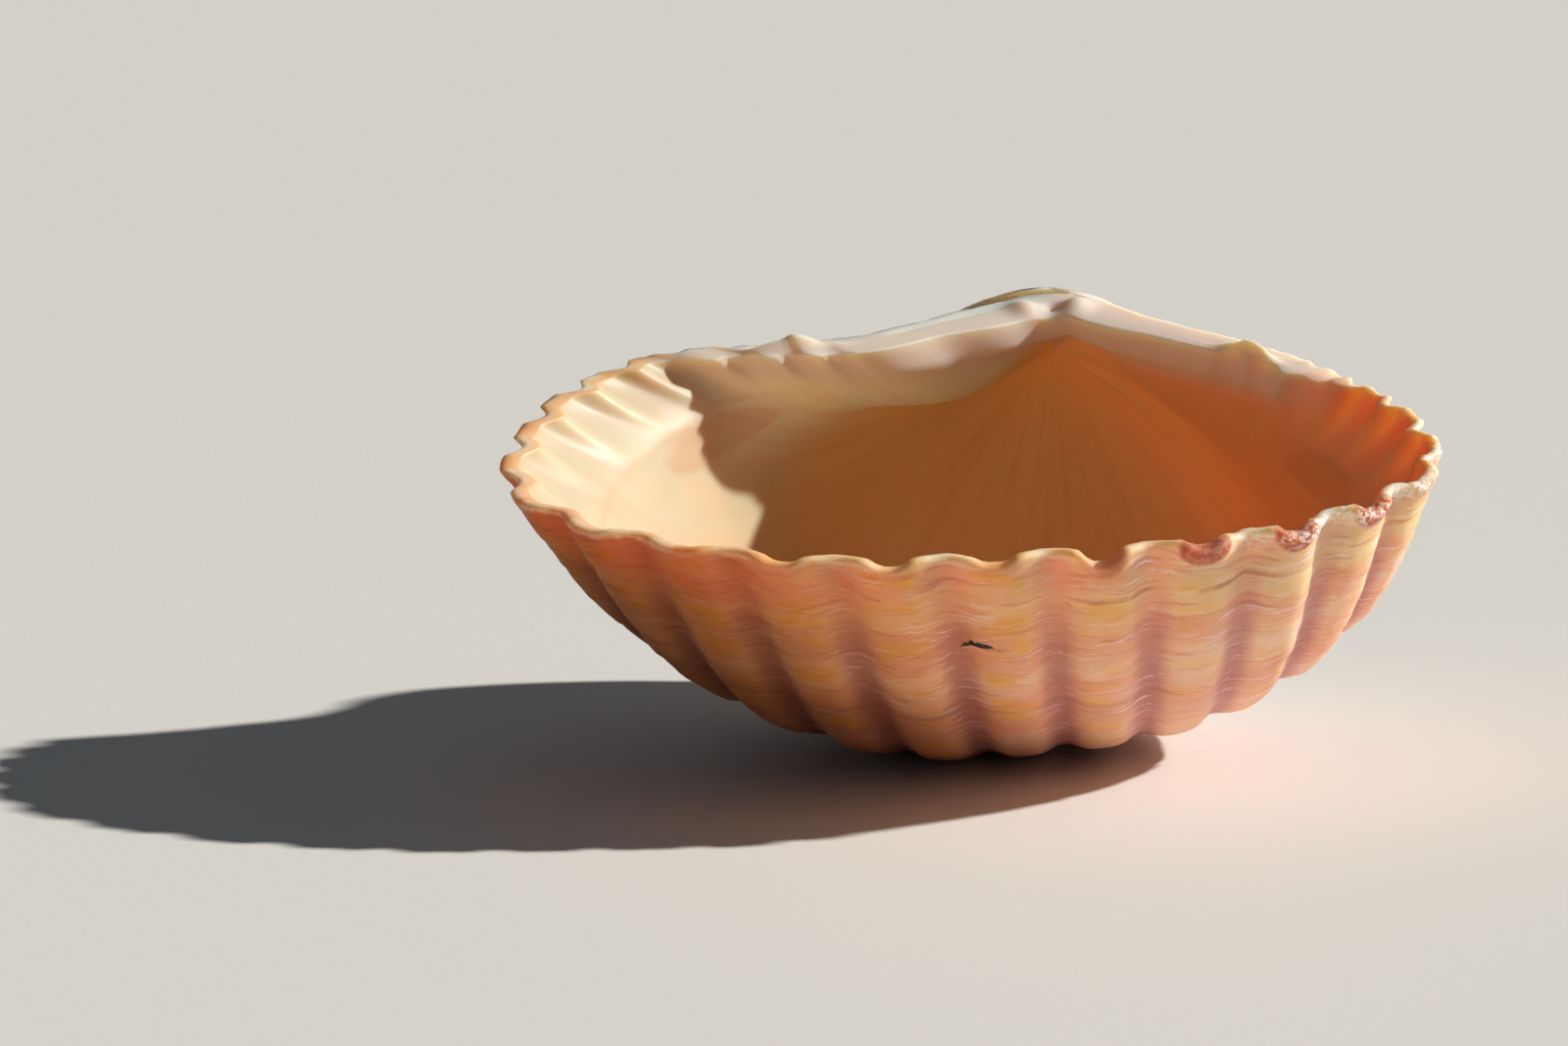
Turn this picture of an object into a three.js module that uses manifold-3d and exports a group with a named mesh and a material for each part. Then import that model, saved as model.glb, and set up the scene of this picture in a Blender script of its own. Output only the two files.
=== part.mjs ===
// Cockle shell: the left valve of a common cockle, lying on its convex back with its hollow up.
//
// Units are millimetres and +Z is up. The valve is one piece. Its surface is a growth spiral: the
// margin, a closed curve, shrinks and turns about the hinge axis, and sweeps out the outside of the
// shell from the open edge back to the beak. A smaller loop inside it sweeps out the hollow.
//
// The shell's own frame, in which everything is computed before the valve is laid down:
//   X along the hinge axis, towards the front (anterior) end of the animal,
//   Y from the open edge towards the hinge,
//   Z out of the hollow, with the margin near z = 0.
import * as THREE from 'three';
import { mergeVertices } from 'three/addons/utils/BufferGeometryUtils.js';
import Module from 'manifold-3d';

// ---- Driving dimensions -------------------------------------------------------------------------

// The margin seen square on, from the beak along the anterior side and back along the posterior side.
const MARGIN = [
  [0.0, -0.7],      // under the beak
  [4.0, -3.6],      // anterior hinge line
  [9.0, -7.9],
  [12.4, -12.6],    // anterior shoulder
  [13.4, -17.8],    // front end
  [11.0, -21.6],
  [5.8, -24.8],     // ventral edge
  [-1.5, -26.1],
  [-9.2, -26.1],
  [-16.1, -23.3],
  [-20.0, -18.6],   // rear end
  [-19.2, -11.7],
  [-15.2, -6.2],    // posterior shoulder
  [-7.7, -4.8],     // posterior hinge line
];
const MARGIN_TENSION = 0.5;         // of the smooth curve through those points

const COIL_RATE = 0.37;             // shrinkage of the margin per radian of coiling
const COIL_LEAN = 1.30;             // drift of the coil towards the front end, per radian
const BEAK_TURN = 150;              // degrees of coiling from the open edge to the beak
const BEAK_BLUNTNESS = 2.4;         // higher closes the beak later and more bluntly

const RIB_SIDES = 12;               // ribs on each side of the middle one
const RIB_PITCH = 3.87;             // spacing of the ribs at the middle of the open edge
const RIB_CROWDING = 0.0205;        // how fast the ribs crowd towards both ends, per millimetre
const RIB_CENTRE = 46.3;            // where the middle rib meets the margin, along it from the beak
const RIB_LIMIT = 0.999;            // keeps the crowding of the ribs finite at both ends
const RIB_HEIGHT = 0.5;
const GROOVE_SHARPNESS = 4;         // higher makes the grooves narrower and the ribs broader
const RIB_END_HEIGHT = 0.35;        // height of the last ribs, as a share of RIB_HEIGHT
const RIB_FADE_FROM = 8.5;          // ribs from the middle where they begin to flatten
const RIB_WEAR_FROM = 30;           // degrees of coiling where the rubbed back begins
const RIB_WEAR_TO = 55;
const WORN_RIB_HEIGHT = 0.45;       // what the rubbing leaves, as a share
const EDGE_DIP = 0.15;              // how far the open edge dips where it crosses a rib

const EDGE_THICKNESS = 0.55;
const WALL_THICKNESS = 1.25;
const UMBO_THICKNESS = 2.3;
const UMBO_THICKENING_FROM = 60;    // degrees of coiling where the wall starts to thicken to the umbo
const REAR_THICKENING = 0.012;      // extra wall towards the rear end, as a share per millimetre
const REAR_THICKENING_FROM = -2;    // the X at which the wall has its named thickness
const WALL_THICKENING = 6.0;        // distance from the open edge to the full wall
const CRENULATION_LENGTH = 6.0;     // how far the ribs show inside the open edge

const HOLLOW_CENTRE = [-1.8, -13.8];
const HOLLOW_TURN = 118;            // degrees of coiling to the blind end of the hollow
const HOLLOW_BLUNTNESS = 6;

const PLATE_WIDTH = 2.5;            // hinge plate, under the beak
const PLATE_END_WIDTH = 1.7;        // hinge plate, along its two arms
const PLATE_NARROWS_FROM = 1.5;     // distance from the beak where the plate starts to narrow
const PLATE_NARROWS_TO = 6.0;
const PLATE_THICKNESS = 1.7;
const PLATE_BLEND_FROM = 0.6;       // share of its thickness where the plate starts to turn into wall
const PLATE_BLEND_TO = 1.6;
const PLATE_ARM_ANTERIOR = 12.5;    // length of the arms, along the margin from the beak
const PLATE_ARM_POSTERIOR = 14.0;
const PLATE_RUNOUT = 4.0;

// Hinge teeth: where each stands, its half sizes along and across it and its height, and its turn.
const TEETH = [
  { at: [1.1, -2.2], half: [0.45, 0.95], rise: 0.9, turn: -20 },      // anterior cardinal
  { at: [-0.9, -2.3], half: [0.35, 0.8], rise: 0.7, turn: 30 },       // posterior cardinal
  { at: [7.4, -7.7], half: [1.7, 0.42], rise: 0.7, turn: -41 },       // anterior lateral
  { at: [-9.9, -5.9], half: [1.9, 0.4], rise: 0.6, turn: 9 },         // posterior lateral
];
const TOOTH_ROOT = 0.5;             // how deep a tooth is sunk in the hinge plate

// How the valve rests on its back: the hinge side rides up, the rear end sinks a little, and the
// ribs it rests on are rubbed flat.
const REST_TILT = 12.3;
const REST_ROLL = -1.4;
const RUB_DEPTH = 0.2;
const RUBBING_BLOCK_SIDE = 60;      // larger than the whole valve

// ---- Mesh resolution ----------------------------------------------------------------------------

const COLUMNS_PER_RIB = 5;
const HINGE_COLUMNS = 20;
const OUTER_ROWS = 22;
const OUTER_ROW_BUNCHING = 1.15;    // above 1 sets the rows closer together near the open edge
const INNER_ROWS = 13;
const INNER_ROW_BUNCHING = 1.2;
const MARGIN_SAMPLES = 2400;
const TOOTH_COLUMNS = 14;
const TOOTH_ROWS = 8;
const MERGE_DISTANCE = 1e-4;        // corners closer than this are one corner

// ---- Small helpers ------------------------------------------------------------------------------

const radians = THREE.MathUtils.degToRad;
const smoothstep = (x, low, high) => THREE.MathUtils.smoothstep(x, low, high);
const mix = THREE.MathUtils.lerp;

// ---- The margin, by distance along it ------------------------------------------------------------

const marginCurve = new THREE.CatmullRomCurve3(
  MARGIN.map(([x, y]) => new THREE.Vector3(x, y, 0)), true, 'catmullrom', MARGIN_TENSION);
marginCurve.arcLengthDivisions = MARGIN_SAMPLES;
const PERIMETER = marginCurve.getLength();

// Count of ribs from the middle one; whole numbers are crests and halves are grooves.
function ribNumber(distance) {
  const across = RIB_CROWDING * (distance - RIB_CENTRE);
  return Math.atanh(THREE.MathUtils.clamp(across, -RIB_LIMIT, RIB_LIMIT)) / (RIB_PITCH * RIB_CROWDING);
}

function distanceOfRib(number) {
  return RIB_CENTRE + Math.tanh(number * RIB_PITCH * RIB_CROWDING) / RIB_CROWDING;
}

// Relief of the ribs, from 0 in a groove to 1 on a crest: broad rounded ribs, narrow grooves.
function ribRelief(distance) {
  const number = ribNumber(distance);
  const lastGroove = RIB_SIDES + 0.5;
  if (Math.abs(number) >= lastGroove) {
    return 0;
  }
  const groove = Math.cos(Math.PI * (number - 0.5)) ** GROOVE_SHARPNESS;
  const fade = smoothstep(Math.abs(number), RIB_FADE_FROM, lastGroove);
  return (1 - groove) * mix(1, RIB_END_HEIGHT, fade);
}

// A share from 1 along the hinge plate to 0 where it has run out into the open edge.
function hingeShare(distance) {
  const anterior = 1 - smoothstep(distance, PLATE_ARM_ANTERIOR, PLATE_ARM_ANTERIOR + PLATE_RUNOUT);
  const back = PERIMETER - distance;
  const posterior = 1 - smoothstep(back, PLATE_ARM_POSTERIOR, PLATE_ARM_POSTERIOR + PLATE_RUNOUT);
  return Math.max(anterior, posterior);
}

function plateWidth(distance) {
  const fromBeak = Math.min(distance, PERIMETER - distance);
  const narrowed = smoothstep(fromBeak, PLATE_NARROWS_FROM, PLATE_NARROWS_TO);
  return mix(PLATE_WIDTH, PLATE_END_WIDTH, narrowed);
}

// One column of the surface: everything about a place on the margin.
function makeColumn(distance) {
  const share = distance / PERIMETER;
  const point = marginCurve.getPointAt(share);
  const along = marginCurve.getTangentAt(share);
  const inward = new THREE.Vector2(HOLLOW_CENTRE[0] - point.x, HOLLOW_CENTRE[1] - point.y);
  const reach = inward.length();
  return {
    point,
    outward: new THREE.Vector2(-along.y, along.x),
    inward: inward.divideScalar(reach),
    reach,
    relief: ribRelief(distance),
    hinge: hingeShare(distance),
    plate: plateWidth(distance),
  };
}

// ---- The growth spiral --------------------------------------------------------------------------

function closing(turn, lastTurn, bluntness) {
  return Math.sqrt(Math.max(0, 1 - (turn / lastTurn) ** bluntness));
}

function shrinkage(turn) {
  return Math.exp(-COIL_RATE * turn) * closing(turn, radians(BEAK_TURN), BEAK_BLUNTNESS);
}

// Carries a point of the margin's plane back along the spiral by a turn about the hinge axis.
function coil(x, y, z, turn) {
  const size = shrinkage(turn);
  const c = Math.cos(turn);
  const s = Math.sin(turn);
  return [size * (x + COIL_LEAN * turn), size * (y * c - z * s), size * (y * s + z * c)];
}

function outerPoint(column, turn) {
  const wear = smoothstep(turn, radians(RIB_WEAR_FROM), radians(RIB_WEAR_TO));
  const lift = RIB_HEIGHT * column.relief * mix(1, WORN_RIB_HEIGHT, wear);
  const x = column.point.x + column.outward.x * lift;
  const y = column.point.y + column.outward.y * lift;
  return coil(x, y, -EDGE_DIP * column.relief, turn);
}

// Thickness of the shell, in true millimetres, at a place on the spiral.
function thickness(column, turn) {
  const fromEdge = column.point.length() * turn;
  const edge = mix(EDGE_THICKNESS, WALL_THICKNESS, smoothstep(fromEdge, 0, WALL_THICKENING));
  const umbo = smoothstep(turn, radians(UMBO_THICKENING_FROM), radians(HOLLOW_TURN));
  const wall = mix(edge, UMBO_THICKNESS, umbo);
  const depth = (Math.abs(column.point.y) + column.plate) * Math.sin(turn);
  const plateShare = 1 - smoothstep(depth / PLATE_THICKNESS, PLATE_BLEND_FROM, PLATE_BLEND_TO);
  const hingeWall = mix(WALL_THICKNESS, column.plate, plateShare);
  const rear = 1 - REAR_THICKENING * (column.point.x - REAR_THICKENING_FROM);
  return mix(wall, hingeWall, column.hinge) * rear;
}

function innerPoint(column, turn) {
  const fromEdge = column.point.length() * turn;
  const crenulation = column.relief * (1 - smoothstep(fromEdge, 0, CRENULATION_LENGTH));
  const lift = RIB_HEIGHT * crenulation;
  const inset = thickness(column, turn) / shrinkage(turn);
  const kept = (1 - inset / column.reach) * closing(turn, radians(HOLLOW_TURN), HOLLOW_BLUNTNESS);
  const x = HOLLOW_CENTRE[0] - column.inward.x * column.reach * kept + column.outward.x * lift;
  const y = HOLLOW_CENTRE[1] - column.inward.y * column.reach * kept + column.outward.y * lift;
  return coil(x, y, -EDGE_DIP * crenulation, turn);
}

// ---- The valve as one closed surface ------------------------------------------------------------

function makeColumns() {
  const columns = [];
  const ends = RIB_SIDES + 0.5;
  const ribbed = 2 * ends * COLUMNS_PER_RIB;
  for (let i = 0; i <= ribbed; i += 1) {
    columns.push(makeColumn(distanceOfRib(-ends + i / COLUMNS_PER_RIB)));
  }
  const from = distanceOfRib(ends);
  const stretch = PERIMETER - from + distanceOfRib(-ends);
  for (let i = 1; i < HINGE_COLUMNS; i += 1) {
    const distance = (from + (stretch * i) / HINGE_COLUMNS) % PERIMETER;
    columns.push(makeColumn(distance));
  }
  return columns;
}

// Rings of points from the beak, over the outside to the edge, and down the inside to the blind end.
function makeRings(columns) {
  const rings = [];
  for (let row = OUTER_ROWS - 1; row >= 0; row -= 1) {
    const turn = radians(BEAK_TURN) * (row / OUTER_ROWS) ** OUTER_ROW_BUNCHING;
    rings.push(columns.map((column) => outerPoint(column, turn)));
  }
  for (let row = 0; row < INNER_ROWS; row += 1) {
    const turn = radians(HOLLOW_TURN) * (row / INNER_ROWS) ** INNER_ROW_BUNCHING;
    rings.push(columns.map((column) => innerPoint(column, turn)));
  }
  return rings;
}

function makeValveGeometry() {
  const rings = makeRings(makeColumns());
  const count = rings[0].length;
  const points = rings.flat();
  const beak = points.push([0, 0, 0]) - 1;
  const blindEnd = points.push(
    coil(HOLLOW_CENTRE[0], HOLLOW_CENTRE[1], 0, radians(HOLLOW_TURN))) - 1;
  const triangles = [];
  for (let i = 0; i < count; i += 1) {
    const next = (i + 1) % count;
    triangles.push(beak, i, next);
    for (let ring = 0; ring < rings.length - 1; ring += 1) {
      const a = ring * count + i;
      const b = ring * count + next;
      triangles.push(a, a + count, b + count, a, b + count, b);
    }
    const last = (rings.length - 1) * count;
    triangles.push(last + i, blindEnd, last + next);
  }
  const geometry = new THREE.BufferGeometry();
  geometry.setAttribute('position', new THREE.Float32BufferAttribute(points.flat(), 3));
  geometry.setIndex(triangles);
  return geometry;
}

// ---- Hinge teeth, joined to the valve ------------------------------------------------------------

const wasm = await Module();
wasm.setup();

function toSolid(geometry) {
  const plain = geometry.clone();
  plain.deleteAttribute('normal');
  plain.deleteAttribute('uv');
  const merged = mergeVertices(plain, MERGE_DISTANCE);
  return new wasm.Manifold(new wasm.Mesh({
    numProp: 3,
    vertProperties: new Float32Array(merged.attributes.position.array),
    triVerts: new Uint32Array(merged.index.array),
  }));
}

function toGeometry(solid) {
  const mesh = solid.getMesh();
  const geometry = new THREE.BufferGeometry();
  geometry.setAttribute('position', new THREE.BufferAttribute(mesh.vertProperties, 3));
  geometry.setIndex(new THREE.BufferAttribute(mesh.triVerts, 1));
  return geometry;
}

// A blunt tooth: a ball stretched along the tooth, with its root buried in the hinge plate.
function makeTooth({ at, half, rise, turn }) {
  const ball = new THREE.SphereGeometry(1, TOOTH_COLUMNS, TOOTH_ROWS);
  ball.scale(half[0], half[1], rise + TOOTH_ROOT);
  ball.rotateZ(radians(turn));
  ball.translate(at[0], at[1], -TOOTH_ROOT);
  return toSolid(ball);
}

// A block whose top is the plane that has rubbed the lowest ribs flat.
function makeRubbingBlock(lowest) {
  const side = RUBBING_BLOCK_SIDE;
  const block = new THREE.BoxGeometry(side, side, side);
  block.translate(0, 0, lowest + RUB_DEPTH - side / 2);
  return toSolid(block);
}

// ---- The valve laid on its back, its box centred over the origin ---------------------------------

function makeValve() {
  const pose = new THREE.Matrix4().makeRotationFromEuler(
    new THREE.Euler(radians(REST_TILT), radians(REST_ROLL), 0, 'YXZ'));
  const whole = TEETH.reduce((solid, tooth) => solid.add(makeTooth(tooth)), toSolid(makeValveGeometry()));
  const laid = toGeometry(whole).applyMatrix4(pose);
  laid.computeBoundingBox();
  const rubbed = toSolid(laid).subtract(makeRubbingBlock(laid.boundingBox.min.z));
  const geometry = toGeometry(rubbed);
  geometry.computeVertexNormals();
  const material = new THREE.MeshStandardMaterial({ color: 0xcf9a6b, roughness: 0.55, metalness: 0 });
  const mesh = new THREE.Mesh(geometry, material);
  mesh.name = 'valve';
  return mesh;
}

const shell = new THREE.Group();
const valve = makeValve();
shell.add(valve);
const box = new THREE.Box3().setFromObject(valve, true);
valve.position.set(-(box.min.x + box.max.x) / 2, -(box.min.y + box.max.y) / 2, -box.min.z);

export default shell;
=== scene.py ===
# Looks of the cockle shell: the left valve as a fine mesh, its material, the floor, light and camera.
#
# The valve is a growth spiral. Its margin, a closed curve, shrinks and turns about the hinge axis and
# sweeps out the outside from the open edge back to the beak; a smaller loop inside it sweeps out the
# hollow. Lengths here are millimetres in the shell's own frame, as in the CAD model: X along the hinge
# towards the front end, Y from the open edge to the hinge, Z out of the hollow. Blender gets metres.
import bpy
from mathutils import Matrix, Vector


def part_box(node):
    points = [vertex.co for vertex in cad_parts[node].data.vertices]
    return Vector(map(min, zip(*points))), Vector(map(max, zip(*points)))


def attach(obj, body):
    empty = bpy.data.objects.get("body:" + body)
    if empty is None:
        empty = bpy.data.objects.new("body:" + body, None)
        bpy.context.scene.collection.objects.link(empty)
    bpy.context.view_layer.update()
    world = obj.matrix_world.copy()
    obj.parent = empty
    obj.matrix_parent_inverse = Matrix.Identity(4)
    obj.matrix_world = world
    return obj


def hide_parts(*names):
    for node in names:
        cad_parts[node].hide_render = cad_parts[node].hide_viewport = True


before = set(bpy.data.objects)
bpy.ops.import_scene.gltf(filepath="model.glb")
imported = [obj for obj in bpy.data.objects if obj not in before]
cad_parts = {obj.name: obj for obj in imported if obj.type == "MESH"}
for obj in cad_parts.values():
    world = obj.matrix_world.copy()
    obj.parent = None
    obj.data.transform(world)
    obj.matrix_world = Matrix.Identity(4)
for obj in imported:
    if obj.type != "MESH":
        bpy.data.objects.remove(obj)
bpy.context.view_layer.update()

from types import SimpleNamespace

import bpy
import numpy as np
from mathutils import Matrix, Vector, noise

MM = 0.001

# ---- The CAD model's driving dimensions ---------------------------------------------------------

MARGIN = np.array([
    [0.0, -0.7], [4.0, -3.6], [9.0, -7.9], [12.4, -12.6], [13.4, -17.8], [11.0, -21.6], [5.8, -24.8],
    [-1.5, -26.1], [-9.2, -26.1], [-16.1, -23.3], [-20.0, -18.6], [-19.2, -11.7], [-15.2, -6.2],
    [-7.7, -4.8]])
MARGIN_STEPS = 240                  # straight steps between two of those points

COIL_RATE = 0.37
COIL_LEAN = 1.30
BEAK_TURN = np.radians(150)
BEAK_BLUNTNESS = 2.4

RIB_SIDES = 12
RIB_PITCH = 3.87
RIB_CROWDING = 0.0205
RIB_CENTRE = 46.3
RIB_LIMIT = 0.999
RIB_HEIGHT = 0.5
GROOVE_SHARPNESS = 4
RIB_END_HEIGHT = 0.35
RIB_FADE_FROM = 8.5
RIB_WEAR_FROM = np.radians(30)
RIB_WEAR_TO = np.radians(55)
WORN_RIB_HEIGHT = 0.45
EDGE_DIP = 0.15

EDGE_THICKNESS = 0.55
WALL_THICKNESS = 1.25
UMBO_THICKNESS = 2.3
UMBO_THICKENING_FROM = np.radians(60)
REAR_THICKENING = 0.012
REAR_THICKENING_FROM = -2
WALL_THICKENING = 6.0
CRENULATION_LENGTH = 6.0

HOLLOW_CENTRE = np.array([-1.8, -13.8])
HOLLOW_TURN = np.radians(118)
HOLLOW_BLUNTNESS = 6

PLATE_WIDTH = 2.5
PLATE_END_WIDTH = 1.7
PLATE_NARROWING = (1.5, 6.0)        # from and to, along the margin from the beak
PLATE_THICKNESS = 1.7
PLATE_BLEND = (0.6, 1.6)            # from plate to wall, in plate thicknesses
PLATE_ARM_ANTERIOR = 12.5
PLATE_ARM_POSTERIOR = 14.0
PLATE_RUNOUT = 4.0

REST_TILT = np.radians(12.3)
REST_ROLL = np.radians(-1.4)
RUB_DEPTH = 0.2

# ---- Details that only the fine mesh has --------------------------------------------------------

# Hinge teeth and the sockets between them: place, half sizes, rise (a socket's is negative), turn.
HINGE_RELIEF = [
    ((1.1, -2.3), (0.85, 1.25), 0.38, -20),
    ((-0.9, -2.4), (0.76, 1.15), 0.32, 30),
    ((0.15, -2.3), (0.36, 0.80), -0.20, 5),
    ((7.4, -7.7), (1.75, 0.45), 0.70, -41),
    ((-9.9, -5.9), (1.95, 0.42), 0.60, 9),
    ((7.0, -7.2), (1.7, 0.30), -0.25, -41),
    ((-9.8, -5.3), (1.9, 0.25), -0.22, 9),
]
LIGAMENT_GROOVE = (1.6, 8.0)        # from and to, along the rear hinge line from the beak
LIGAMENT_DEPTH = 0.28
RELIEF_SPREAD = 0.66                # how far a tooth or socket spreads, as a share of its half size

# Pauses in growth, each a ledge: distance from the edge, height of the ledge, and its fade length.
GROWTH_CHECKS = [
    (0.95, 0.035, 0.5), (2.55, 0.095, 0.9), (3.7, 0.04, 0.8), (4.9, 0.06, 1.2), (7.2, 0.05, 1.5),
    (9.6, 0.09, 2.0), (13.0, 0.06, 1.8), (16.5, 0.10, 2.2), (20.5, 0.06, 2.0), (25.0, 0.09, 2.4),
]
CHECK_SHARPNESS = 0.10
GROWTH_DIP = 0.05                   # how much lower a growth line runs over a crest

CREST_NOTCH = 0.50                  # bite out of the open edge at each rib's crest
NOTCH_UNEVENNESS = 0.32
REAR_NOTCH = 0.35                   # share of the bite left towards the rear end
FRONT_NOTCH = 0.6                   # and towards the front end
LAST_NOTCH = 0.3                    # and where the ribs fade out
GROOVE_TRIM = 0.30                  # how much lower the edge runs at each groove, so its tops are flat
POCKET_DEPTH = 0.20                 # scoop below the notch, where the crest's end is eroded
POCKET_LENGTH = 1.05
FAINT_POCKET = 0.25                 # share of it left away from the eroded ribs at the front
LAST_POCKET = 9                     # rib number beyond which there is none
EDGE_ROUNDING = 0.16
ROUGH_EDGE_FROM = -3.2              # rib number where the nicked front stretch of the edge begins
ROUGHNESS = 0.06                    # height of its grains
EDGE_JITTER = (0.018, 0.075)        # unevenness of the plain edge and of the nicked stretch
ROUGH_EDGE_LOSS = 0.05
NICKS = [                           # rib number, half width in ribs and depth of chips out of the edge
    (-0.78, 0.16, 0.10), (-3.4, 0.10, 0.10), (-4.35, 0.16, 0.16), (-5.1, 0.12, 0.12),
    (-5.8, 0.20, 0.18), (-6.7, 0.12, 0.14), (-7.6, 0.2, 0.12), (4.4, 0.15, 0.08), (8.2, 0.2, 0.12),
]
EDGE_SHIFT_LENGTH = 2.6             # how far below a chip the rows of the mesh are moved

PIT_RIB = -0.70                     # the crescent pit in a groove of the front: a dent in the mesh, with painted shade in it
PIT_GROWTH = 4.35
PIT_HALF_WIDTH = 0.19
PIT_HALF_HEIGHT = 0.26
PIT_DEPTH = 0.25
PIT_DARK_HALF_HEIGHT = 0.13
PIT_ARCH = 0.50                     # how much further from the edge its ends are than its middle
PIT_TILT = 0.22                     # and how much further still its left end is, and nearer its right end

# Inside: the two muscle scars (distance along the margin, distance from the edge, two half sizes).
MUSCLE_SCARS = [(17.5, 7.2, 2.6, 2.2), (73.5, 8.4, 3.2, 2.6)]
PALLIAL_LINE = 5.4                  # distance from the edge
PALLIAL_HALF_WIDTH = 0.35
PALLIAL_DEPTH = 0.03
SCAR_DEPTH = 0.05
WAVES = (0.55, 0.055)               # broad waviness of the outside: waves per millimetre, and height
GRAINS = (1.9, 0.018)               # and its fine unevenness
INSIDE_WAVINESS = 0.03
WORN_FROM = np.radians(60)          # where the rubbed, whitened umbo begins and is full
WORN_TO = np.radians(115)
GROWTH_REACH = 26.0                 # from the beak to the middle of the open edge

# Rows and columns of the mesh.

COLUMNS_PER_RIB = 14
HINGE_COLUMNS = 100
RIM_ROWS = 14
OUTER_SPACING = (0.125, 0.46)       # row spacing at the edge and far from it
INNER_SPACING = (0.22, 0.74)
SPACING_FROM = 1.0                  # distances from the edge between which the spacing widens
SPACING_TO = 13.0
SPACING_SAMPLES = 4000

# ---- Camera and light ---------------------------------------------------------------------------

VIEW_CENTRE = np.array([0.0, -13.5, 0.0])   # middle of the valve's mouth, in the shell's frame
CAMERA_ELEVATION = np.radians(10)
CAMERA_DISTANCE = 274.0
CAMERA_ASIDE = -10.2                # the shell stands right of the picture's middle
CAMERA_DROP = -4.0                  # and a little above it
CAMERA_LENS = 170.0
SUN_AZIMUTH = np.radians(4)         # behind the shell, from straight right
SUN_ELEVATION = np.radians(32.5)
SUN_STRENGTH = 4.95
SUN_ANGLE = np.radians(2.0)
SUN_COLOUR = (1.0, 0.97, 0.92)
SKY_COLOUR = (0.80, 0.90, 1.0)
SKY_STRENGTH = 0.10
FLOOR_SIZE = 2.4                    # metres


def smoothstep(x, low, high):
    share = np.clip((x - low) / (high - low), 0, 1)
    return share * share * (3 - 2 * share)


def mix(a, b, share):
    return a + (b - a) * share


# ---- The margin, by distance along it -----------------------------------------------------------

def sample_margin():
    """Points and directions of a closed Catmull-Rom curve through MARGIN, with distances along it."""
    before, here = np.roll(MARGIN, 1, 0), MARGIN
    after, beyond = np.roll(MARGIN, -1, 0), np.roll(MARGIN, -2, 0)
    t = (np.arange(MARGIN_STEPS) / MARGIN_STEPS)[None, :, None]
    start, end = (after - before)[:, None] / 2, (beyond - here)[:, None] / 2
    here, after = here[:, None], after[:, None]
    points = ((2 * t**3 - 3 * t**2 + 1) * here + (t**3 - 2 * t**2 + t) * start
              + (3 * t**2 - 2 * t**3) * after + (t**3 - t**2) * end).reshape(-1, 2)
    closed = np.vstack([points, points[:1]])
    lengths = np.hypot(*np.diff(closed, axis=0).T)
    return closed, np.concatenate([[0], np.cumsum(lengths)])


MARGIN_POINTS, MARGIN_DISTANCES = sample_margin()
PERIMETER = MARGIN_DISTANCES[-1]


def margin_at(distance):
    x, y = (np.interp(distance % PERIMETER, MARGIN_DISTANCES, MARGIN_POINTS[:, i]) for i in (0, 1))
    return np.stack([x, y], -1)


def rib_number(distance):
    across = np.clip(RIB_CROWDING * (distance - RIB_CENTRE), -RIB_LIMIT, RIB_LIMIT)
    return np.arctanh(across) / (RIB_PITCH * RIB_CROWDING)


def distance_of_rib(number):
    return RIB_CENTRE + np.tanh(number * RIB_PITCH * RIB_CROWDING) / RIB_CROWDING


def make_columns():
    """Everything about each place on the margin that a column of the mesh starts from."""
    ends = RIB_SIDES + 0.5
    last = ends * COLUMNS_PER_RIB
    ribbed = distance_of_rib(np.arange(-last, last + 1) / COLUMNS_PER_RIB)
    stretch = PERIMETER - ribbed[-1] + ribbed[0]
    hinged = ribbed[-1] + stretch * np.arange(1, HINGE_COLUMNS) / HINGE_COLUMNS
    distance = np.concatenate([ribbed, hinged]) % PERIMETER
    point = margin_at(distance)
    step = 0.02
    along = margin_at(distance + step) - margin_at(distance - step)
    along /= np.hypot(*along.T)[:, None]
    inward = HOLLOW_CENTRE - point
    reach = np.hypot(*inward.T)
    rib = np.clip(rib_number(distance), -ends, ends)
    fade = smoothstep(np.abs(rib), RIB_FADE_FROM, ends)
    groove = np.cos(np.pi * (rib - 0.5)) ** GROOVE_SHARPNESS
    relief = (1 - groove) * mix(1, RIB_END_HEIGHT, fade)
    relief[np.abs(rib) >= ends] = 0
    back = PERIMETER - distance
    anterior = 1 - smoothstep(distance, PLATE_ARM_ANTERIOR, PLATE_ARM_ANTERIOR + PLATE_RUNOUT)
    posterior = 1 - smoothstep(back, PLATE_ARM_POSTERIOR, PLATE_ARM_POSTERIOR + PLATE_RUNOUT)
    from_beak = np.minimum(distance, back)
    return SimpleNamespace(
        distance=distance, back=back, point=point, outward=np.stack([-along[:, 1], along[:, 0]], -1),
        inward=inward / reach[:, None], reach=reach, size=np.hypot(*point.T), rib=rib, relief=relief,
        crest=np.cos(2 * np.pi * rib), ribbed=relief > 0, hinge=np.maximum(anterior, posterior),
        plate=mix(PLATE_WIDTH, PLATE_END_WIDTH, smoothstep(from_beak, *PLATE_NARROWING)))


# ---- The growth spiral --------------------------------------------------------------------------

def closing(turn, last_turn, bluntness):
    return np.sqrt(np.clip(1 - np.clip(turn / last_turn, 0, 1) ** bluntness, 0, 1))


def shrinkage(turn):
    return np.exp(-COIL_RATE * turn) * closing(turn, BEAK_TURN, BEAK_BLUNTNESS)


def coil(x, y, z, turn):
    """Carries a point of the margin's plane back along the spiral by a turn about the hinge axis."""
    size, c, s = shrinkage(turn), np.cos(turn), np.sin(turn)
    return np.stack([size * (x + COIL_LEAN * turn), size * (y * c - z * s), size * (y * s + z * c)], -1)


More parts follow.
